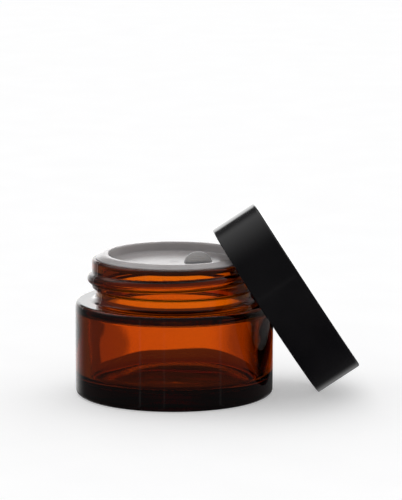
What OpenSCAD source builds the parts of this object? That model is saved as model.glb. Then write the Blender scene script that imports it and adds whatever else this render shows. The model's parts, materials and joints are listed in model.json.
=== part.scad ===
// Wide-mouth cosmetic cream jar: a thick glass jar with a flat shoulder and a threaded
// neck, a moulded disc with a pull tab pressed into its mouth, and a smooth screw cap
// with a two-layer liner. The jar stands on z = 0 with its axis on Z. The cap is off:
// it stands on the lowest edge of its rim and leans on the disc, open side to the jar.

/* [Jar body] */
// Outside diameter of the glass body
body_d = 60; // [58:0.5:62]
// Height of the flat shoulder above the table
shoulder_h = 28.6; // [27:0.1:29]
// Thickness of the side wall
side_wall = 3.6; // [3:0.1:4]
// Thickness of the bottom at its rim
bottom_t = 4.2; // [4:0.1:6]
// Radius of the outside bottom corner
heel_r = 1.6; // [1:0.1:2.5]
// Radius of the outside shoulder corner
shoulder_r = 1.3; // [0.8:0.1:2]
// Height of the push-up under the bottom
punt_h = 1.1; // [0.6:0.1:1.5]

/* [Neck] */
// Height of the lip above the table
jar_h = 41.6; // [41:0.1:42.5]
// Outside diameter of the band under the lip
neck_d = 50; // [49.8:0.1:50.2]
// Outside diameter of the groove below the band
neck_root_d = 47.4; // [47:0.1:48.4]
// Fillet between the shoulder and the neck
foot_r = 1.8; // [1:0.1:2.2]
// Height of the band from its lower edge to the lip
band_h = 8.7; // [8.3:0.1:9]
// Bore of the mouth
mouth_d = 44; // [43.6:0.1:44.4]

/* [Thread] */
// Outside diameter over the neck's thread
thread_d = 52.8; // [52.2:0.1:53]
// Rise of the thread in a full turn
thread_pitch = 5.08; // [4.8:0.02:5.2]
// Angle that the thread covers
thread_sweep = 330; // [270:5:340]
// Height of the ridge's foot, measured along the axis
thread_w = 3.6; // [3:0.1:3.8]

/* [Sealing disc] */
// Outside diameter of the flange
flange_d = 47.5; // [47:0.1:47.8]
// Thickness of the flange
flange_t = 1.25; // [1:0.05:1.4]
// Diameter of the dish inside the flange
dish_d = 39.8; // [39:0.1:41]
// Depth of the dish below the flange's crown
dish_depth = 2.6; // [2.2:0.1:3]
// Thickness of the dish's floor
dish_floor_t = 0.6; // [0.5:0.05:0.9]

/* [Pull tab] */
// Radius of the half-round tab
tab_r = 4.2; // [3.8:0.1:4.5]
// Thickness of the tab
tab_t = 0.8; // [0.6:0.1:1]

/* [Cap] */
// Outside diameter of the cap
cap_d = 59; // [58.8:0.1:59.4]
// Height of the cap
cap_h = 15.1; // [14.8:0.1:15.6]
// Bore of the cap between its threads
cap_bore_d = 53.6; // [53.5:0.1:54]
// Diameter inside the cap's thread ridges
cap_crest_d = 50.8; // [50.6:0.1:51]
// Thickness of the cap's top
cap_top_t = 1.9; // [1.6:0.1:2.2]
// Tilt of the cap's rim from level
lean_angle = 57; // [56.5:0.1:57.5]
// Distance from the jar's axis to the point where the rim stands
lean_x = 43.8; // [43.75:0.05:44.6]

/* [Liner] */
// Diameter of the liner
liner_d = 52; // [51:0.1:52.6]
// Thickness of the foam core
liner_core_t = 1; // [0.8:0.1:1.2]
// Thickness of the facing film
liner_facing_t = 0.15; // [0.1:0.05:0.2]

/* [Hidden] */
$fn = 96;

body_r = body_d / 2;
cavity_r = body_r - side_wall;
mouth_r = mouth_d / 2;
neck_r = neck_d / 2;
neck_root_r = neck_root_d / 2;
ceiling_tilt = 16;                 // the underside of the shoulder rises this much to the neck
wall_top_z = shoulder_h - 3.8;     // where the cavity's wall starts to bend inwards
bearing_r = 21.5;                  // inner edge of the ring that the jar stands on
floor_sag = 0.9;                   // the cavity's floor is this much lower in the middle
cavity_low_r = 3.6;                // rounding between the cavity's wall and floor
cavity_high_r = 1.2;               // rounding between the cavity's wall and ceiling
throat_r = 1.2;                    // rounding where the ceiling meets the mouth's bore
groove_slope = 0.7;                // height of the slope from the neck's groove out to the band
lip_out_r = 1;                     // rounding of the lip's outer edge
lip_in_r = 0.6;                    // rounding of the lip's inner edge

thread_low_z = 34.66;              // middle of the ridge at its lower end
thread_angle = 110;                // where the ridge starts
thread_step = 6;                   // angle between two sections of a ridge
thread_fade = 20;                  // angle in which a ridge rises to its full height
ridge_sides = 8;                   // points round a ridge's section
ridge_root = 0.5;                  // how deep a ridge's foot lies inside the wall
ridge_end = 0.3;                   // part of that depth at which a ridge fades out
cap_thread_low = 2.9;              // middle of the cap's ridge above the rim
cap_thread_sweep = 320;
cap_thread_angle = 200;

flange_r = flange_d / 2;
flange_top = jar_h + flange_t;
flange_edge_t = 0.45;              // thickness of the flange at its outer edge
flange_edge_r = 0.22;
crown_in_r = 0.9;                  // rounding from the flange's crown down into the dish
dish_r = dish_d / 2;
dish_z = flange_top - dish_depth;
dish_draft = 0.6;                  // the dish's wall leans in by this much
dish_low_r = 0.4;                  // rounding between the dish's wall and floor
flange_bevel = 0.1;                // under the flange's outer edge
crown_r = dish_r + crown_in_r;     // where the flange is highest
plug_r = mouth_r - 0.05;           // running gap in the mouth
plug_z = dish_z - dish_floor_t;    // the plug's flat underside
plug_lead = 0.5;                   // chamfer that guides the plug into the mouth

tab_x = 6.8;
tab_y = -6.3;
tab_root_r = 0.45;
tab_root_inset = 0.35;             // the root stops short of the tab's corners by this much
tab_gap = 0.05;                    // daylight between the tab's root and the dish

cap_r = cap_d / 2;
cap_bore_r = cap_bore_d / 2;
cap_crest_r = cap_crest_d / 2;
cap_mouth_r = cap_bore_r + 0.4;    // chamfered way in to the cap
rim_edge_r = 0.3;
top_edge_r = 0.8;
// A rounded rim edge stands this much lower than a sharp one would
rim_drop = rim_edge_r * (sin(lean_angle) + cos(lean_angle) - 1);
liner_r = liner_d / 2;
liner_gap = 0.02;                  // between the liner and the cap's top
liner_core_z = cap_h - cap_top_t - liner_gap - liner_core_t;
liner_facing_z = liner_core_z - liner_facing_t;

glass = [0.62, 0.27, 0.04, 0.75];
disc_white = [0.86, 0.85, 0.84];
cap_black = [0.07, 0.07, 0.08];
foam_white = [0.93, 0.93, 0.92];
film_white = [0.80, 0.82, 0.84];

// Points on a circular arc, from angle a0 to angle a1
function arc(x, y, r, a0, a1, n = 7) =
    [for (i = [0:n]) let (a = a0 + (a1 - a0) * i / n) [x + r * cos(a), y + r * sin(a)]];

// Points on a shallow parabola, rise above base at the axis and level with it at radius r
function dome(r, base, rise, n = 5) =
    [for (i = [0:n]) let (x = r * i / n) [x, base + rise * (1 - pow(x / r, 2))]];

function reversed(list) = [for (i = [len(list) - 1:-1:0]) list[i]];

// How far a ridge stands up, from 0 at both ends to 1, at part t of its sweep
function ridge_height(t, sweep) = min(1, t * sweep / thread_fade, (1 - t) * sweep / thread_fade);

// The ridge's half-round section: how far out, and how far up or down, as parts of its full size
RIDGE = [for (i = [0:ridge_sides - 1]) let (a = 180 * i / (ridge_sides - 1)) [sin(a), -cos(a)]];

// A helical ridge on a wall. It rises by the thread's pitch and fades out at both ends.
// buried is the radius of its foot inside the wall, crest that of its top.
module thread_ridge(wall, buried, crest, low_z, sweep, angle) {
    steps = ceil(sweep / thread_step);
    hidden = wall + (buried - wall) * ridge_end;
    points = [
        for (i = [0:steps])
            let (t = i / steps, a = angle + sweep * t, z = low_z + thread_pitch * sweep * t / 360)
            let (top = hidden + (crest - hidden) * ridge_height(t, sweep))
            for (p = RIDGE)
                let (r = buried + (top - buried) * p[0])
                [r * cos(a), r * sin(a), z + p[1] * thread_w / 2]
    ];
    skin = [
        for (i = [0:steps - 1], j = [0:ridge_sides - 1])
            let (k = (j + 1) % ridge_sides, a = i * ridge_sides, b = a + ridge_sides)
            for (triangle = [[a + j, a + k, b + k], [a + j, b + k, b + j]])
                triangle
    ];
    first = [for (j = [ridge_sides - 1:-1:0]) j];
    last = [for (j = [0:ridge_sides - 1]) steps * ridge_sides + j];
    faces = concat([first], skin, [last]);
    polyhedron(points, crest > wall ? faces : [for (f = faces) reversed(f)]);
}

// Places what is drawn about the cap's own axis, rim at z = 0, where the cap leans
module in_cap() {
    translate([lean_x - cap_r * cos(lean_angle), 0, cap_r * sin(lean_angle) - rim_drop])
        rotate([0, lean_angle, 0])
            children();
}

module glass_jar() {
    band_z = jar_h - band_h;
    // Height of the throat's arc, from the sloping ceiling between the two roundings
    bends = throat_r + cavity_high_r;
    throat_z = wall_top_z + bends / cos(ceiling_tilt)
        + (cavity_r - mouth_r - bends) * tan(ceiling_tilt);
    outside = concat(
        dome(bearing_r, 0, punt_h),
        arc(body_r - heel_r, heel_r, heel_r, -90, 0),
        arc(body_r - shoulder_r, shoulder_h - shoulder_r, shoulder_r, 0, 90),
        arc(neck_root_r + foot_r, shoulder_h + foot_r, foot_r, -90, -180),
        [[neck_root_r, band_z - groove_slope], [neck_r, band_z]],
        arc(neck_r - lip_out_r, jar_h - lip_out_r, lip_out_r, 0, 90)
    );
    inside = concat(
        arc(mouth_r + lip_in_r, jar_h - lip_in_r, lip_in_r, 90, 180),
        arc(mouth_r + throat_r, throat_z, throat_r, 180, 270 - ceiling_tilt),
        arc(cavity_r - cavity_high_r, wall_top_z, cavity_high_r, 90 - ceiling_tilt, 0),
        arc(cavity_r - cavity_low_r, bottom_t + cavity_low_r, cavity_low_r, 0, -90),
        reversed([for (p = dome(cavity_r - cavity_low_r, bottom_t, -floor_sag)) if (p[1] < bottom_t) p])
    );
    color(glass) union() {
        rotate_extrude() polygon(concat(outside, inside));
        thread_ridge(neck_r, neck_r - ridge_root, thread_d / 2, thread_low_z, thread_sweep,
            thread_angle);
    }
}

module sealing_disc() {
    edge_z = jar_h + flange_edge_t;
    rim = flange_r - flange_edge_r - crown_r;
    crown = [for (p = dome(rim, edge_z, flange_top - edge_z)) [crown_r + p[0], p[1]]];
    profile = concat(
        [
            [0, plug_z],
            [plug_r - plug_lead, plug_z],
            [plug_r, plug_z + plug_lead * 2],
            [plug_r, jar_h],
            [flange_r - flange_bevel, jar_h]
        ],
        arc(flange_r - flange_edge_r, edge_z - flange_edge_r, flange_edge_r, 0, 80, 5),
        reversed(crown),
        arc(crown_r, flange_top - crown_in_r, crown_in_r, 100, 170, 5),
        arc(dish_r - dish_draft - dish_low_r, dish_z + dish_low_r, dish_low_r, -10, -90, 5),
        [[0, dish_z]]
    );
    color(disc_white) rotate_extrude() polygon(profile);
}

module pull_tab() {
    color(disc_white)
        translate([tab_x, tab_y, dish_z + tab_root_r + tab_gap])
            union() {
                rotate([90, 0, 0])
                    linear_extrude(tab_t, center = true)
                        intersection() {
                            circle(tab_r);
                            translate([-tab_r, 0]) square([tab_r * 2, tab_r]);
                        }
                rotate([0, 90, 0])
                    cylinder(h = 2 * (tab_r - tab_root_inset), r = tab_root_r, center = true);
            }
}

module screw_cap() {
    profile = concat(
        [[cap_mouth_r, 0]],
        arc(cap_r - rim_edge_r, rim_edge_r, rim_edge_r, -90, 0, 5),
        arc(cap_r - top_edge_r, cap_h - top_edge_r, top_edge_r, 0, 90),
        [
            [0, cap_h],
            [0, cap_h - cap_top_t],
            [cap_bore_r, cap_h - cap_top_t],
            [cap_bore_r, cap_mouth_r - cap_bore_r]
        ]
    );
    color(cap_black) in_cap() union() {
        rotate_extrude() polygon(profile);
        thread_ridge(cap_bore_r, cap_bore_r + ridge_root, cap_crest_r, cap_thread_low,
            cap_thread_sweep, cap_thread_angle);
    }
}

module liner_core() {
    color(foam_white) in_cap() translate([0, 0, liner_core_z]) cylinder(h = liner_core_t, r = liner_r);
}

module liner_facing() {
    color(film_white) in_cap() translate([0, 0, liner_facing_z]) cylinder(h = liner_facing_t, r = liner_r);
}

glass_jar();
sealing_disc();
pull_tab();
screw_cap();
liner_core();
liner_facing();
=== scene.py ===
"""Visual model of a cosmetic cream jar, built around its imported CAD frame.

An amber glass jar with a moulded sealing disc and pull tab in its mouth, and a black screw cap
that leans on it. Each piece is a fine turned or moulded mesh in place of its CAD node. Lengths in
the outlines are millimetres; mm() turns them into the frame's metres.
"""
import json
import math

import bmesh
import bpy
import numpy as np
from mathutils import Matrix, Vector


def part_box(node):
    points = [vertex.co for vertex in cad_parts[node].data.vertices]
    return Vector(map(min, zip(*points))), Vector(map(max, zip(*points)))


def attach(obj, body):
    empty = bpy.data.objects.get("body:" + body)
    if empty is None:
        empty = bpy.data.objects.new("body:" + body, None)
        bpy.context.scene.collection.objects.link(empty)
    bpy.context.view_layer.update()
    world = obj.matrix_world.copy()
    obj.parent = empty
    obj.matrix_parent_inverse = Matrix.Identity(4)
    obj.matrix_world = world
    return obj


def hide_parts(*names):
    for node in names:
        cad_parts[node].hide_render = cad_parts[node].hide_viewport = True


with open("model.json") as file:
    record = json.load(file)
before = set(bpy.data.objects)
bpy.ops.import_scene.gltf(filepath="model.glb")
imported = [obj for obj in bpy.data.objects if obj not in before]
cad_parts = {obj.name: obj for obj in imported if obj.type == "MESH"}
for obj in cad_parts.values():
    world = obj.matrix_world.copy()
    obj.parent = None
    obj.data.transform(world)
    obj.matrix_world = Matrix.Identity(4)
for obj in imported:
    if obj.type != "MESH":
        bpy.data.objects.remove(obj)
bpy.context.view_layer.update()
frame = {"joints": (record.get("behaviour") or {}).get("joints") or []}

TURN = 2 * math.pi


def mm(length):
    """Millimetres to metres."""
    return length * 0.001


def mm_vector(x, y, z):
    """A point in the frame's metres from millimetres."""
    return Vector((mm(x), mm(y), mm(z)))


def frame_mm(value):
    """Metres from the frame to millimetres, rounded to a hundredth."""
    return round(value * 1000, 2)


# ---------------------------------------------------------------- sizes, in millimetres

JAR_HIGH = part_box("glass_jar")[1]
DISC_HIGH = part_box("sealing_disc")[1]
TAB_LOW, TAB_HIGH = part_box("pull_tab")
CAP_LOW, CAP_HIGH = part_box("screw_cap")
JOINTS = {joint["name"]: joint for joint in frame["joints"]}

BODY_R = frame_mm(JAR_HIGH.x)
LIP_Z = frame_mm(JAR_HIGH.z)
SHOULDER_Z = 28.6
SIDE_WALL = 3.6
BOTTOM_T = 4.2                     # at the foot of the inside wall
FLOOR_SAG = 0.9                    # how much lower the inner bottom is in its middle
PUNT = 1.1                         # push-up under the bottom
BEARING_R = 21.5                   # inner radius of the ring that the jar stands on
HEEL_R = 1.6
SHOULDER_R = 1.3
FOOT_R = 1.8                       # fillet between the shoulder and the neck
CAVITY_R = BODY_R - SIDE_WALL
CAVITY_LOW_R = 3.6                 # fillet round the inner bottom
CAVITY_HIGH_R = 1.2                # fillet under the shoulder
THROAT_R = 1.2                     # fillet from the sloping ceiling into the mouth
CEILING_Z = SHOULDER_Z - 2.9       # where the sloping ceiling would meet the wall
CEILING_TILT = 16                  # degrees
MOUTH_R = 22.0
NECK_R = 25.0
GROOVE_R = 23.7                    # neck below the band
GROOVE_SLOPE = 0.7
BAND_Z = LIP_Z - 8.7               # lower edge of the band

THREAD_R = 26.4
THREAD_PITCH = 5.08
THREAD_W = 3.6
THREAD_FADE = 20                   # degrees over which each end of the thread rises
NECK_THREAD = (34.66, 330, 110)    # lowest height, sweep and start, in degrees
CAP_THREAD = (2.9, 320, 200)       # the same inside the cap, from its rim
RIDGE_ROOT = 0.5                   # how deep the thread's foot lies in the wall

FLANGE_R = frame_mm(DISC_HIGH.x)
FLANGE_TOP = frame_mm(DISC_HIGH.z)
FLANGE_EDGE_Z = LIP_Z + 0.45
FLANGE_EDGE_R = 0.22
DISH_R = 19.9
DISH_DRAFT = 0.6
DISH_Z = FLANGE_TOP - 2.6
CROWN_R = DISH_R + 0.9             # where the flange begins to fall towards its edge
MARK_R = 1.3                       # moulding mark in the middle of the dish
MARK_H = 0.05
PLUG_R = MOUTH_R - 0.05
PLUG_Z = DISH_Z - 0.6

CAP_R = frame_mm((CAP_HIGH.y - CAP_LOW.y) / 2)
CAP_H = 15.1
CAP_TOP_T = 1.9
CAP_BORE_R = 26.8
CAP_MOUTH_R = CAP_BORE_R + 0.4
CAP_CREST_R = 25.4
LINER_R = 26.0
LINER_GAP = 0.02                   # between the liner and the cap's top
LINER_CORE_T = 1.0
LINER_FACING_T = 0.15
CORE_Z = CAP_H - CAP_TOP_T - LINER_GAP - LINER_CORE_T
FACING_Z = CORE_Z - LINER_FACING_T

# ---------------------------------------------------------------- camera, in metres

CAMERA_DISTANCE = 0.955
CAMERA_HEIGHT = 0.2078
CAMERA_YAW = 0.064                 # radians round to the left of the front
AIM_RIGHT = 0.0081
AIM_HEIGHT = 0.0437
FOCAL_PIXELS = 3207
IMAGE_HEIGHT = 500
SENSOR = 36


def make_camera():
    """A long lens, a little above the lip, with the cap to the right."""
    data = bpy.data.cameras.new("camera")
    data.sensor_fit = "VERTICAL"
    data.sensor_height = SENSOR
    data.lens = FOCAL_PIXELS * SENSOR / IMAGE_HEIGHT
    camera = bpy.data.objects.new("camera", data)
    bpy.context.scene.collection.objects.link(camera)
    right = Vector((math.cos(CAMERA_YAW), -math.sin(CAMERA_YAW), 0))
    back = Vector((-math.sin(CAMERA_YAW), -math.cos(CAMERA_YAW), 0))
    camera.location = back * CAMERA_DISTANCE + Vector((0, 0, CAMERA_HEIGHT))
    aim = right * AIM_RIGHT + Vector((0, 0, AIM_HEIGHT))
    camera.rotation_euler = (aim - camera.location).to_track_quat("-Z", "Y").to_euler()
    bpy.context.scene.camera = camera


# ---------------------------------------------------------------- outlines

def outline(corners, step=2.0, degrees=12, closed=False):
    """Points along straight runs between corners (r, z, fillet). Each fillet becomes an arc, and
    runs longer than step are divided, with a point close to each end that keeps the shading flat."""
    count = len(corners)
    bends = []
    for i, (r, z, fillet) in enumerate(corners):
        here = np.array((r, z), float)
        ends = not closed and i in (0, count - 1)
        if fillet <= 0 or ends:
            bends.append([here])
            continue
        before = np.array(corners[i - 1][:2], float) - here
        after = np.array(corners[(i + 1) % count][:2], float) - here
        before /= np.linalg.norm(before)
        after /= np.linalg.norm(after)
        half = math.acos(max(-1.0, min(1.0, float(before @ after)))) / 2
        middle = (before + after) / np.linalg.norm(before + after)
        centre = here + middle * fillet / math.sin(half)
        start = here + before * fillet / math.tan(half) - centre
        end = here + after * fillet / math.tan(half) - centre
        a0 = math.atan2(start[1], start[0])
        sweep = (math.atan2(end[1], end[0]) - a0 + math.pi) % TURN - math.pi
        pieces = max(2, math.ceil(abs(math.degrees(sweep)) / degrees))
        bends.append([
            centre + fillet * np.array((math.cos(a), math.sin(a)))
            for a in (a0 + sweep * k / pieces for k in range(pieces + 1))
        ])
    points = []
    for i, bend in enumerate(bends):
        points += bend
        if i + 1 == count and not closed:
            break
        a, b = bend[-1], bends[(i + 1) % count][0]
        length = float(np.linalg.norm(b - a))
        near = min(0.12, length / 4)
        pieces = max(1, math.ceil((length - 2 * near) / step))
        for k in range(pieces + 1):
            points.append(a + (b - a) * (near + (length - 2 * near) * k / pieces) / length)
    return np.array(points)


def dense(points, low, high, step):
    """The same line with its runs between heights low and high divided to at most step."""
    result = [points[0]]
    for a, b in zip(points[:-1], points[1:]):
        length = float(np.linalg.norm(b - a))
        inside = min(a[1], b[1]) >= low and max(a[1], b[1]) <= high
        pieces = max(1, math.ceil(length / step)) if inside else 1
        result += [a + (b - a) * k / pieces for k in range(1, pieces + 1)]
    return np.array(result)


# ---------------------------------------------------------------- turned meshes

def turned(name, points, columns=256, shape=None, angles=None):
    """A closed mesh turned about Z from a line of (r, z) points, both ends on the axis.
    shape(r, z, angle) gives the changed r and z of arrays of points, so that a ridge or a seam
    is part of the surface."""
    if angles is None:
        angles = np.arange(columns) * TURN / columns
    columns = len(angles)
    inner = points[1:-1]
    r = np.repeat(inner[:, :1], columns, axis=1)
    z = np.repeat(inner[:, 1:], columns, axis=1)
    angle = np.repeat(angles[None, :], len(inner), axis=0)
    if shape:
        r, z = shape(r, z, angle)
    grid = np.stack([r * np.cos(angle), r * np.sin(angle), z], axis=-1).reshape(-1, 3)
    first, last = len(grid), len(grid) + 1
    poles = np.array([[0, 0, points[0][1]], [0, 0, points[-1][1]]])
    vertices = mm(np.concatenate([grid, poles]))
    faces = []
    for j in range(columns):
        k = (j + 1) % columns
        faces.append((first, k, j))
        for i in range(len(inner) - 1):
            a = i * columns
            faces.append((a + j, a + k, a + columns + k, a + columns + j))
        a = (len(inner) - 1) * columns
        faces.append((a + j, a + k, last))
    mesh = bpy.data.meshes.new(name)
    mesh.from_pydata(vertices.tolist(), [], faces)
    return finish_mesh(name, mesh)


def finish_mesh(name, mesh):
    """Links a mesh as an object with outward normals and smooth shading."""
    work = bmesh.new()
    work.from_mesh(mesh)
    bmesh.ops.recalc_face_normals(work, faces=work.faces)
    for face in work.faces:
        face.smooth = True
    work.to_mesh(mesh)
    work.free()
    piece = bpy.data.objects.new(name, mesh)
    bpy.context.scene.collection.objects.link(piece)
    return piece


def stand_in(piece, node, body, material):
    """Puts a finished piece in a CAD node's place."""
    piece.data.materials.append(material)
    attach(piece, body)
    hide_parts(node)
    return piece


# ---------------------------------------------------------------- threads

def ridge_out(z, angle, low_z, sweep, start):
    """How far the half-round thread stands out at height z and angle, from 0 to 1 on its crest."""
    along = (np.degrees(angle) - start) % 360
    away = np.abs(z - low_z - THREAD_PITCH * along / 360) * 2 / THREAD_W
    section = np.sqrt(np.clip(1 - away * away, 0, 1))
    end = np.clip(np.minimum(along, sweep - along) / THREAD_FADE, 0, 1)
    return section * end * end * (3 - 2 * end)


def soft_max(a, b, blend):
    """The larger of two arrays, with a rounded crossing blend wide."""
    gap = np.clip(blend - np.abs(a - b), 0, None)
    return np.maximum(a, b) + gap * gap / (4 * blend)


# ---------------------------------------------------------------- glass jar

SEAM_ANGLES = (200, 20)            # where the two halves of the mould met
SEAM_WIDTH = 0.16
SEAM_HEIGHT = 0.05
STIPPLE_COUNT = 72
STIPPLE_DEPTH = 0.1
RIDGE_FOOT_R = NECK_R - RIDGE_ROOT
RIDGE_BLEND = 0.25                 # width of the rounding where the thread leaves the neck
WALL_DIP = 0.12                    # mean depth of the waves on the inside wall
SWELL = 0.7                        # height of the two gentle hills round the inner bottom
SWELL_TURN = 1.36                  # radians


def jar_outline():
    """From the push-up under the bottom, up the outside, over the lip and down the inside."""
    throat_z = CEILING_Z + (CAVITY_R - MOUTH_R) * math.tan(math.radians(CEILING_TILT))
    corners = [
        (0, PUNT, 0),
        (8, PUNT * 0.86, 12),
        (BEARING_R - 1.6, PUNT * 0.16, 3),
        (BEARING_R, 0, 1),
        (BODY_R, 0, HEEL_R),
        (BODY_R, SHOULDER_Z, SHOULDER_R),
        (GROOVE_R, SHOULDER_Z, FOOT_R),
        (GROOVE_R, BAND_Z - GROOVE_SLOPE, 0.5),
        (NECK_R, BAND_Z, 0.5),
        (NECK_R, LIP_Z, 1),
        (MOUTH_R, LIP_Z, 0.6),
        (MOUTH_R, throat_z, THROAT_R),
        (CAVITY_R, CEILING_Z, CAVITY_HIGH_R),
        (CAVITY_R, BOTTOM_T, CAVITY_LOW_R),
        (CAVITY_R * 0.5, BOTTOM_T - FLOOR_SAG * 0.75, 60),
        (0, BOTTOM_T - FLOOR_SAG, 0),
    ]
    points = outline(corners, step=1.2, degrees=9)
    return dense(points, SHOULDER_Z + 0.9, LIP_Z - 0.6, 0.16)


def add_neck_thread(r, z, angle, outside):
    """Radii with the thread's ridge on the neck."""
    neck = outside & (z > SHOULDER_Z + 1)
    out = ridge_out(z, angle, *NECK_THREAD)
    ridge = RIDGE_FOOT_R + (THREAD_R - RIDGE_FOOT_R) * out
    return np.where(neck & (out > 0), soft_max(r, ridge, RIDGE_BLEND), r)


def add_seams(r, z, angle, outside):
    """Radii with the fine upright lines where the mould closed, kept inside the body's radius."""
    wall = outside & (r > GROOVE_R - 0.2) & (z > 0.4)
    for seam in SEAM_ANGLES:
        away = (angle - math.radians(seam) + math.pi) % TURN - math.pi
        r = np.where(wall, r + SEAM_HEIGHT * np.exp(-((away * r / SEAM_WIDTH) ** 2)), r)
    return np.where(wall, np.minimum(r, BODY_R), r)


def add_stipple(r, z, angle, outside):
    """Heights with the notches round the ring that the jar stands on."""
    ring = outside & (z < 0.02) & (r > BEARING_R + 1) & (r < BODY_R - 2.2)
    notch = STIPPLE_DEPTH * (0.5 - 0.5 * np.cos(STIPPLE_COUNT * angle))
    return np.where(ring, z + notch, z)


def add_inner_waves(r, z, angle, outside):
    """Radii with the slow waves that blown glass has on its inside wall."""
    depth = np.clip((CEILING_Z - z) / 6, 0, 1) * np.clip(r / CAVITY_R, 0, 1)
    wave = 0.16 * np.cos(2 * angle + 0.5) + 0.10 * np.cos(3 * angle - 1.2 + z * 0.05)
    wave += 0.05 * np.cos(7 * angle + z * 0.2)
    return np.where(~outside & (z < CEILING_Z), r - depth * (WALL_DIP + wave), r)


def add_bottom_swell(r, z, angle, outside):
    """Heights with the uneven edge of the inner bottom."""
    swell = SWELL * np.cos(2 * (angle - SWELL_TURN))
    swell += 0.12 * np.sin(angle + 0.8) + 0.08 * np.cos(5 * angle)
    low = np.clip((BOTTOM_T + 9 - z) / 5, 0, 1) * (r / CAVITY_R) ** 2
    return np.where(outside, z, z + swell * low)


def jar_shape(r, z, angle):
    """Adds the thread, the mould seams, the stippled bearing ring and the uneven inside."""
    outside = np.zeros_like(r, dtype=bool)
    outside[:OUTSIDE_ROWS] = True
    r = add_neck_thread(r, z, angle, outside)
    r = add_seams(r, z, angle, outside)
    z = add_stipple(r, z, angle, outside)
    r = add_inner_waves(r, z, angle, outside)
    z = add_bottom_swell(r, z, angle, outside)
    return r, z


def column_angles(count, fine_at, fine=(-0.9, -0.5, -0.25, 0, 0.25, 0.5, 0.9)):
    """Even columns, with extra ones beside each seam."""
    angles = set(round(360 * k / count, 3) for k in range(count))
    for centre in fine_at:
        angles |= {round((centre + offset) % 360, 3) for offset in fine}
    return np.radians(np.array(sorted(angles)))


JAR_LINE = jar_outline()
OUTSIDE_ROWS = int(np.argmax(JAR_LINE[:, 1])) - 1


# ---------------------------------------------------------------- sealing disc and its tab

def disc_outline():
    """From the underside's middle, round the plug and the flange, to the dish's middle."""
    rim = FLANGE_R - FLANGE_EDGE_R - CROWN_R
    rise = FLANGE_TOP - FLANGE_EDGE_Z
    parts = (0.9, 0.75, 0.6, 0.45, 0.3, 0.15, 0)
    crown = [(CROWN_R + part * rim, FLANGE_TOP - rise * part * part, 0) for part in parts]
    return outline([
        (0, PLUG_Z, 0),
        (PLUG_R - 0.5, PLUG_Z, 0.2),
        (PLUG_R, PLUG_Z + 1, 0.3),
        (PLUG_R, LIP_Z, 0.1),
        (FLANGE_R, LIP_Z, 0.1),
        (FLANGE_R, FLANGE_EDGE_Z, 0.2),
        *crown,
        (DISH_R - 0.05, FLANGE_TOP, 0.75),
        (DISH_R - DISH_DRAFT, DISH_Z, 0.5),
        (MARK_R, DISH_Z, 0.1),
        (MARK_R - 0.3, DISH_Z + MARK_H, 0.1),
        (0, DISH_Z + MARK_H, 0),
    ], step=1.5, degrees=11)


TAB_SQUASH = 0.84                  # height of the half-round, as part of a half circle's
TAB_HALF = 0.3                     # half the thickness of the plain middle
TAB_EDGE = 0.85                    # width of the raised edge
TAB_EDGE_RISE = 0.1
TAB_BARS = (1.0, 1.6, 2.2)         # heights of the grip bars above the hinge
TAB_BAR_W = 0.16
TAB_BAR_RISE = 0.08
TAB_BAR_END = 1.5                  # the bars stop this far inside the tab's edge
TAB_ROOT_INSET = 0.35              # the hinge stops this far inside the tab's edge
TAB_RINGS = 28
TAB_SPOKES = 48


def tab_half(x, z, radius):
    """Half the tab's thickness at x and z from the middle of its foot."""
    across = math.hypot(x, z)
    edge = min(1.0, max(0.0, (across - radius + TAB_EDGE) / 0.2))
    bars = sum(math.exp(-(((z - height) / TAB_BAR_W) ** 2)) for height in TAB_BARS)
    end = min(1.0, max(0.0, (radius - TAB_BAR_END - across) / 0.3))
    return TAB_HALF + TAB_EDGE_RISE * edge + TAB_BAR_RISE * bars * end


def tab_plate(work, middle, foot_z, radius):
    """The half-round plate: two faces of rings and spokes, joined round the edge and the foot."""
    rings = [(radius * k / TAB_RINGS, 1.0) for k in range(1, TAB_RINGS - 1)]
    rings += [(radius - 0.2, 1.0), (radius - 0.06, 0.8), (radius, 0.35)]
    sides = []
    for side in (-1, 1):
        centre = mm_vector(middle.x, middle.y + side * tab_half(0, 0, radius), foot_z)
        grid = [[work.verts.new(centre)] * (TAB_SPOKES + 1)]
        for ring, part in rings:
            row = []
            for k in range(TAB_SPOKES + 1):
                a = math.pi * k / TAB_SPOKES
                x, z = ring * math.cos(a), ring * math.sin(a) * TAB_SQUASH
                y = middle.y + side * part * tab_half(x, z, radius)
                row.append(work.verts.new(mm_vector(middle.x + x, y, foot_z + z)))
            grid.append(row)
        sides.append(grid)
        for inner, outer in zip(grid[:-1], grid[1:]):
            for k in range(TAB_SPOKES):
                corners = [inner[k], outer[k], outer[k + 1], inner[k + 1]]
                work.faces.new(list(dict.fromkeys(corners)))
    near, far = sides
    for k in range(TAB_SPOKES):
        work.faces.new((near[-1][k], near[-1][k + 1], far[-1][k + 1], far[-1][k]))
    for k in (0, TAB_SPOKES):
        for i in range(len(near) - 1):
            work.faces.new((near[i][k], near[i + 1][k], far[i + 1][k], far[i][k]))


def tab_root(work, middle, foot_z, length, radius):
    """The thin round hinge along the tab's foot, with domed ends."""
    sides = 20
    ends = [(-length / 2, 0.5), (-length / 2 + 0.12, 0.85), (-length / 2 + 0.3, 1.0)]
    stations = ends + [(-x, part) for x, part in reversed(ends)]
    rows = []
    for x, part in stations:
        rows.append([
            work.verts.new(mm_vector(
                middle.x + x,
                middle.y + radius * part * math.cos(TURN * k / sides),
                foot_z + radius * part * math.sin(TURN * k / sides)))
            for k in range(sides)
        ])
    for a, b in zip(rows[:-1], rows[1:]):
        for k in range(sides):
            work.faces.new((a[k], a[(k + 1) % sides], b[(k + 1) % sides], b[k]))
    work.faces.new(rows[0])
    work.faces.new(rows[-1])


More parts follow.
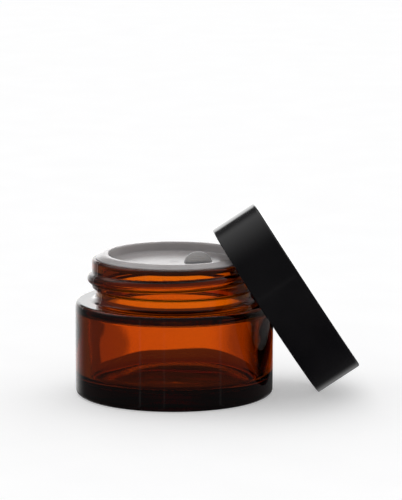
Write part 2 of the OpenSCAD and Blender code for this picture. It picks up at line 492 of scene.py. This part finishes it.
def make_tab():
    """A half-round finger tab with a raised edge and grip bars, on its hinge."""
    low, high = TAB_LOW * 1000, TAB_HIGH * 1000
    middle = (low + high) / 2
    root_r = (high.y - low.y) / 2
    radius = (high.x - low.x) / 2
    foot_z = high.z - radius
    work = bmesh.new()
    tab_plate(work, middle, foot_z, radius)
    tab_root(work, middle, foot_z, 2 * (radius - TAB_ROOT_INSET), root_r)
    mesh = bpy.data.meshes.new("pull_tab_fine")
    work.to_mesh(mesh)
    work.free()
    return finish_mesh("pull_tab_fine", mesh)


# ---------------------------------------------------------------- cap and liner

def cap_place():
    """The matrix that takes the cap's own frame, rim at z = 0, to where it leans."""
    turn = JOINTS["cap_turn"]
    lean = Vector((0, 0, 1)).rotation_difference(Vector(turn["axis"]))
    return Matrix.Translation(Vector(turn["pos_m"])) @ lean.to_matrix().to_4x4()


CAP_TOP_SINK = 0.05                # how far the top's field lies below its edge
CAP_RIDGE_BLEND = 0.2


def cap_outline():
    """From the middle of the top, down the side, round the rim and up the inside. Also says at
    which point the inside begins."""
    top = CAP_H - CAP_TOP_T
    points = outline([
        (0, CAP_H - CAP_TOP_SINK, 0),
        (CAP_R - 3.2, CAP_H - CAP_TOP_SINK, 6),
        (CAP_R - 2.2, CAP_H, 2),
        (CAP_R, CAP_H, 0.8),
        (CAP_R, 0, 0.3),
        (CAP_MOUTH_R, 0, 0.15),
        (CAP_BORE_R, 0.5, 0.3),
        (CAP_BORE_R, top, 0.4),
        (0, top, 0),
    ], step=1.6, degrees=9)
    inside = int(np.argmin(points[:, 1]))
    return np.concatenate([points[:inside], dense(points[inside:], 0.4, top - 0.4, 0.16)]), inside


def cap_shape(r, z, angle):
    """Adds the thread's ridge to the inside wall."""
    inside = np.zeros_like(r, dtype=bool)
    inside[CAP_INSIDE:] = True
    wall = inside & (r > CAP_BORE_R - 0.3) & (z > 0.5) & (z < CAP_H - CAP_TOP_T - 0.5)
    out = ridge_out(z, angle, *CAP_THREAD)
    foot = CAP_BORE_R + RIDGE_ROOT
    ridge = foot + (CAP_CREST_R - foot) * out
    return np.where(wall & (out > 0), -soft_max(-r, -ridge, CAP_RIDGE_BLEND), r), z


CAP_LINE, CAP_INSIDE = cap_outline()


def liner_outline(low, thickness, edge):
    """A flat round ply from height low up, with its edges rounded by a fillet."""
    return outline([
        (0, low, 0),
        (LINER_R, low, edge),
        (LINER_R, low + thickness, edge),
        (0, low + thickness, 0),
    ], step=1.0, degrees=18)


LIP_PRINT_R = (MOUTH_R + NECK_R) / 2    # the lip's impression in the facing
LIP_PRINT_W = 1.1
LIP_PRINT_DEPTH = 0.06


def facing_shape(r, z, angle):
    """Presses the lip's ring into the facing's sealing side."""
    ring = np.exp(-(((r - LIP_PRINT_R) / LIP_PRINT_W) ** 2))
    depth = LIP_PRINT_DEPTH * (1 + 0.15 * np.cos(3 * angle)) * ring
    return r, np.where(z < FACING_Z + LINER_FACING_T / 2, z + depth, z)


# ---------------------------------------------------------------- materials

def principled(name, **values):
    """A new material, its node tree and its Principled shader, with constant socket values set."""
    material = bpy.data.materials.new(name)
    material.use_nodes = True
    nodes = material.node_tree.nodes
    shader = nodes["Principled BSDF"]
    for socket, value in values.items():
        shader.inputs[socket.replace("_", " ")].default_value = value
    return material, material.node_tree, shader


def noise(tree, scale, detail=3, roughness=0.5, stretch=(1, 1, 1)):
    """A noise texture in the object's own coordinates. scale is features per metre."""
    place = tree.nodes.new("ShaderNodeTexCoord")
    mapping = tree.nodes.new("ShaderNodeMapping")
    mapping.inputs["Scale"].default_value = stretch
    texture = tree.nodes.new("ShaderNodeTexNoise")
    texture.inputs["Scale"].default_value = scale
    texture.inputs["Detail"].default_value = detail
    texture.inputs["Roughness"].default_value = roughness
    tree.links.new(place.outputs["Object"], mapping.inputs["Vector"])
    tree.links.new(mapping.outputs["Vector"], texture.inputs["Vector"])
    return texture


def with_alpha(value):
    """A grey value or a colour as the four numbers of a colour."""
    return (*value, 1) if isinstance(value, tuple) else (value, value, value, 1)


def ramp(tree, source, low, high, position=(0.35, 0.65)):
    """Colours or values between low and high by a source from 0 to 1."""
    node = tree.nodes.new("ShaderNodeValToRGB")
    for element, place, value in zip(node.color_ramp.elements, position, (low, high)):
        element.position = place
        element.color = with_alpha(value)
    tree.links.new(source, node.inputs["Fac"])
    return node.outputs["Color"]


def bump(tree, shader, source, distance, strength=1.0):
    """Connects a height source to the shader's normal. distance is in metres."""
    node = tree.nodes.new("ShaderNodeBump")
    node.inputs["Distance"].default_value = distance
    node.inputs["Strength"].default_value = strength
    tree.links.new(source, node.inputs["Height"])
    tree.links.new(node.outputs["Normal"], shader.inputs["Normal"])


def amber_glass():
    """Clear amber glass: a light streaky tint at the surface, and a deeper one by thickness."""
    material, tree, shader = principled(
        "amber_glass", IOR=1.52, Transmission_Weight=1.0, Roughness=0.0)
    streaks = noise(tree, 60, detail=2, stretch=(1, 1, 0.3))
    tint = ramp(tree, streaks.outputs["Fac"], (0.89, 0.51, 0.11), (0.92, 0.56, 0.13))
    tree.links.new(tint, shader.inputs["Base Color"])
    ripple = noise(tree, 110, detail=2, stretch=(1, 1, 0.5))
    bump(tree, shader, ripple.outputs["Fac"], 0.00006, 0.5)
    depth = tree.nodes.new("ShaderNodeVolumeAbsorption")
    depth.inputs["Color"].default_value = (0.905, 0.74, 0.07, 1)
    depth.inputs["Density"].default_value = 900
    tree.links.new(depth.outputs["Volume"], tree.nodes["Material Output"].inputs["Volume"])
    return material


def milky_plastic(name, light, dark, polish):
    """Moulded polyethylene, with faint flow clouding and a fine eggshell surface. Its roughness
    lies between the two values of polish."""
    material, tree, shader = principled(
        name, IOR=1.5, Subsurface_Weight=0.4, Subsurface_Scale=0.003)
    shader.inputs["Subsurface Radius"].default_value = (1, 0.9, 0.8)
    cloud = noise(tree, 130, detail=4)
    tree.links.new(ramp(tree, cloud.outputs["Fac"], dark, light), shader.inputs["Base Color"])
    rub = noise(tree, 900, detail=3)
    tree.links.new(ramp(tree, rub.outputs["Fac"], *polish), shader.inputs["Roughness"])
    grain = noise(tree, 3500, detail=3, roughness=0.6)
    bump(tree, shader, grain.outputs["Fac"], 0.000012, 0.6)
    return material


def cap_plastic():
    """Black polished plastic with faint haze and handling marks."""
    material, tree, shader = principled("cap_plastic", IOR=1.46)
    shade = noise(tree, 90, detail=3)
    tree.links.new(
        ramp(tree, shade.outputs["Fac"], (0.0025, 0.0022, 0.0032), (0.0045, 0.004, 0.005)),
        shader.inputs["Base Color"])
    haze = noise(tree, 260, detail=6, roughness=0.7)
    tree.links.new(ramp(tree, haze.outputs["Fac"], 0.07, 0.13), shader.inputs["Roughness"])
    peel = noise(tree, 1400, detail=2)
    bump(tree, shader, peel.outputs["Fac"], 0.000006, 0.5)
    return material


def liner_foam():
    """White closed-cell foam."""
    material, tree, shader = principled(
        "liner_foam", IOR=1.45, Roughness=0.75, Subsurface_Weight=0.3, Subsurface_Scale=0.001)
    cells = tree.nodes.new("ShaderNodeTexVoronoi")
    cells.inputs["Scale"].default_value = 2600
    place = tree.nodes.new("ShaderNodeTexCoord")
    tree.links.new(place.outputs["Object"], cells.inputs["Vector"])
    tree.links.new(
        ramp(tree, cells.outputs["Distance"], (0.80, 0.80, 0.78), (0.90, 0.90, 0.88), (0.1, 0.6)),
        shader.inputs["Base Color"])
    bump(tree, shader, cells.outputs["Distance"], 0.00008, 0.6)
    return material


def liner_film():
    """Smooth pale film, faintly wrinkled over the foam."""
    material, tree, shader = principled("liner_film", IOR=1.5)
    cloud = noise(tree, 200, detail=3)
    tree.links.new(
        ramp(tree, cloud.outputs["Fac"], (0.74, 0.75, 0.76), (0.82, 0.83, 0.84)),
        shader.inputs["Base Color"])
    tree.links.new(ramp(tree, cloud.outputs["Fac"], 0.22, 0.34), shader.inputs["Roughness"])
    wrinkle = noise(tree, 420, detail=3)
    bump(tree, shader, wrinkle.outputs["Fac"], 0.00005, 0.4)
    return material


def floor_material():
    """A plain pale matt surface that glows a little."""
    material, tree, shader = principled("floor_pale", Roughness=0.9)
    shader.inputs["Specular IOR Level"].default_value = 0.0
    mottle = noise(tree, 40, detail=2)
    tree.links.new(
        ramp(tree, mottle.outputs["Fac"], (0.86, 0.86, 0.865), (0.88, 0.88, 0.885)),
        shader.inputs["Base Color"])
    shader.inputs["Emission Color"].default_value = (1, 1, 1, 1)
    shader.inputs["Emission Strength"].default_value = FLOOR_GLOW
    return material


# ---------------------------------------------------------------- light and floor

FLOOR_SIZE = 6.0                   # metres
FLOOR_GLOW = 0.38                  # keeps the shadows on the floor pale
SHADE_CARD_DROP = 0.0001                 # metres below the floor's surface
DOME = (0.4, 1.05)                 # light that matt surfaces receive from the front and the back
GLASS_PANEL = 1.15                 # brightness of the panel that glass shows
GLASS_GLOW = (0.015, 0.2)          # what glass shows straight down and around the panel
GLOSS_PANEL = 1.8                  # brightness of the panel that gloss shows
GLOSS_TENT = (0.05, 0.11)          # what gloss shows from below and from above
GLOSS_HIGH = 0.5                   # the soft lamp above and behind
GLOSS_LOW = 0.33                   # the pale table behind
STRIPS = ((-0.63, 0.15), (-0.2, 0.12), (0.8, 0.1))     # centre and brightness of each narrow lamp
STRIP_W = 0.022


def make_floor():
    """A pale floor that only the camera and matt surfaces see."""
    mesh = bpy.data.meshes.new("floor")
    s = FLOOR_SIZE / 2
    mesh.from_pydata([(-s, -s, 0), (s, -s, 0), (s, s, 0), (-s, s, 0)], [], [(0, 1, 2, 3)])
    floor = bpy.data.objects.new("floor", mesh)
    bpy.context.scene.collection.objects.link(floor)
    mesh.materials.append(floor_material())
    floor.visible_glossy = False
    floor.visible_transmission = False


def make_shade_card():
    """A black card under the jar, which only glass and gloss see: painted shade in place of the
    shadow under the jar. It keeps the thick base dark.
    """
    work = bmesh.new()
    bmesh.ops.create_circle(work, cap_ends=True, segments=64, radius=mm(BODY_R - 1))
    mesh = bpy.data.meshes.new("shade_card")
    work.to_mesh(mesh)
    work.free()
    shade_card = bpy.data.objects.new("shade_card", mesh)
    bpy.context.scene.collection.objects.link(shade_card)
    shade_card.location.z = -SHADE_CARD_DROP
    material, _, shader = principled("shade_card_black", Roughness=1.0)
    # painted shade: near-black, seen through the glass where the jar's shadow lies
    shader.inputs["Base Color"].default_value = (0.003, 0.003, 0.003, 1)
    mesh.materials.append(material)
    shade_card.visible_camera = shade_card.visible_diffuse = shade_card.visible_shadow = False


class Sky:
    """Node helpers for a brightness that depends on direction."""

    def __init__(self, tree):
        self.tree = tree
        place = tree.nodes.new("ShaderNodeTexCoord")
        turn = tree.nodes.new("ShaderNodeMapping")
        turn.inputs["Rotation"].default_value = (0, 0, CAMERA_YAW)
        split = tree.nodes.new("ShaderNodeSeparateXYZ")
        tree.links.new(place.outputs["Generated"], turn.inputs["Vector"])
        tree.links.new(turn.outputs["Vector"], split.inputs["Vector"])
        self.right, self.back, self.up = split.outputs

    def fade(self, source, start, end, before, after):
        """A smooth change from before to after as the source goes from start to end."""
        node = self.tree.nodes.new("ShaderNodeMapRange")
        node.interpolation_type = "SMOOTHSTEP"
        names = ("From Min", "From Max", "To Min", "To Max")
        for name, value in zip(names, (start, end, before, after)):
            node.inputs[name].default_value = value
        self.tree.links.new(source, node.inputs["Value"])
        return node.outputs["Result"]

    def join(self, kind, first, *others):
        """The first source combined with each of the others by a Math operation."""
        for other in others:
            node = self.tree.nodes.new("ShaderNodeMath")
            node.operation = kind
            self.tree.links.new(first, node.inputs[0])
            self.tree.links.new(other, node.inputs[1])
            first = node.outputs["Value"]
        return first

    def panel(self, left, right, low, high, level):
        """A soft-edged panel behind the jar. Each edge is a (dark, bright) pair."""
        return self.join(
            "MULTIPLY",
            self.fade(self.right, *left, 0, level),
            self.fade(self.right, *right, 0, 1),
            self.fade(self.up, *low, 0, 1),
            self.fade(self.up, *high, 0, 1),
            self.fade(self.back, 0, 0.1, 0, 1),
        )

    def strip(self, centre, level):
        """A narrow upright lamp in front of the jar. centre counts to the right."""
        return self.join(
            "MULTIPLY",
            self.fade(self.right, centre - STRIP_W, centre, 0, level),
            self.fade(self.right, centre, centre + STRIP_W, 1, 0),
            self.fade(self.back, -0.1, 0, 1, 0),
        )

    def choose(self, question, no, yes):
        """One of two levels by a Light Path answer. Each level is a source or a number."""
        node = self.tree.nodes.new("ShaderNodeMix")
        node.data_type = "FLOAT"
        self.tree.links.new(question, node.inputs["Factor"])
        for name, value in (("A", no), ("B", yes)):
            if isinstance(value, (int, float)):
                node.inputs[name].default_value = value
            else:
                self.tree.links.new(value, node.inputs[name])
        return node.outputs["Result"]


def seen_through_glass(sky):
    """A bright panel behind the jar, dimmer towards its sides, over a faint glow."""
    panel = sky.join(
        "MULTIPLY",
        sky.panel((-0.19, -0.165), (0.34, 0.2), (-0.27, -0.21), (0.2, 0.05), GLASS_PANEL),
        sky.fade(sky.right, -0.12, -0.09, 0.36, 1),
        sky.fade(sky.right, 0.05, 0.16, 1, 0.4),
    )
    glow = sky.join(
        "MULTIPLY",
        sky.fade(sky.up, -0.98, -0.75, *GLASS_GLOW),
        sky.fade(sky.up, 0.2, 0.4, 1, 0.15),
    )
    return sky.join("ADD", panel, glow)


def mirrored_in_gloss(sky):
    """A wide panel behind the jar, which draws the edges of black plastic, with a dim tent, a soft
    lamp above, the pale table behind, and narrow upright lamps in front."""
    panel = sky.panel((-0.8, -0.2), (0.3, 0.1), (-0.3, -0.1), (0.34, 0.26), GLOSS_PANEL)
    tent = sky.fade(sky.up, -0.6, 0.3, *GLOSS_TENT)
    above = sky.join(
        "MULTIPLY",
        sky.fade(sky.back, -0.35, 0.5, 0, GLOSS_HIGH),
        sky.fade(sky.up, 0.45, 0.65, 0, 1),
    )
    table = sky.join(
        "MULTIPLY",
        sky.fade(sky.back, 0.6, 0.85, 0, GLOSS_LOW),
        sky.fade(sky.up, -0.5, -0.2, 1, 0),
    )
    strips = [sky.strip(centre, level) for centre, level in STRIPS]
    return sky.join("ADD", panel, tent, above, table, *strips)


def make_world():
    """Plain white for the camera, a dome brighter at the back for matt surfaces, and panels and
    lamps at fixed directions for gloss and glass."""
    world = bpy.data.worlds.new("studio")
    bpy.context.scene.world = world
    world.use_nodes = True
    world.cycles.sampling_method = "NONE"
    tree = world.node_tree
    path = tree.nodes.new("ShaderNodeLightPath")
    sky = Sky(tree)
    dome = sky.fade(sky.back, -0.4, 0.5, *DOME)
    level = sky.choose(path.outputs["Is Glossy Ray"], dome, mirrored_in_gloss(sky))
    level = sky.choose(path.outputs["Is Transmission Ray"], level, seen_through_glass(sky))
    level = sky.choose(path.outputs["Is Camera Ray"], level, 1.0)
    background = tree.nodes["Background"]
    background.inputs["Color"].default_value = (1, 1, 1, 1)
    tree.links.new(level, background.inputs["Strength"])


def make_stage():
    """The floor, the black card of painted shade under the jar and the light, shown without a film
    look.
    """
    make_floor()
    make_shade_card()
    make_world()
    view = bpy.context.scene.view_settings
    view.view_transform = "Standard"
    view.look = "None"


# ---------------------------------------------------------------- the pieces

make_camera()
make_stage()

jar = turned("glass_jar_fine", JAR_LINE, shape=jar_shape, angles=column_angles(360, SEAM_ANGLES))
stand_in(jar, "glass_jar", "jar", amber_glass())

disc = turned("sealing_disc_fine", disc_outline())
# The disc's slight warm tint is painted amber light from the glass, shining through the thin
# plastic.
stand_in(disc, "sealing_disc", "disc", milky_plastic(
    "disc_plastic",
    light=(0.55, 0.52, 0.52),
    dark=(0.50, 0.47, 0.47),
    polish=(0.17, 0.25),
))

tab = make_tab()
stand_in(tab, "pull_tab", "tab", milky_plastic(
    "tab_plastic",
    light=(0.60, 0.60, 0.61),
    dark=(0.55, 0.55, 0.565),
    polish=(0.3, 0.4),
))

cap = turned("screw_cap_fine", CAP_LINE, shape=cap_shape)
core = turned("liner_core_fine", liner_outline(CORE_Z, LINER_CORE_T, 0.2), columns=160)
facing_line = liner_outline(FACING_Z, LINER_FACING_T, 0.05)
facing = turned("liner_facing_fine", facing_line, columns=160, shape=facing_shape)
for piece in (cap, core, facing):
    piece.data.transform(cap_place())
stand_in(cap, "screw_cap", "cap", cap_plastic())
stand_in(core, "liner_core", "liner", liner_foam())
stand_in(facing, "liner_facing", "liner", liner_film())
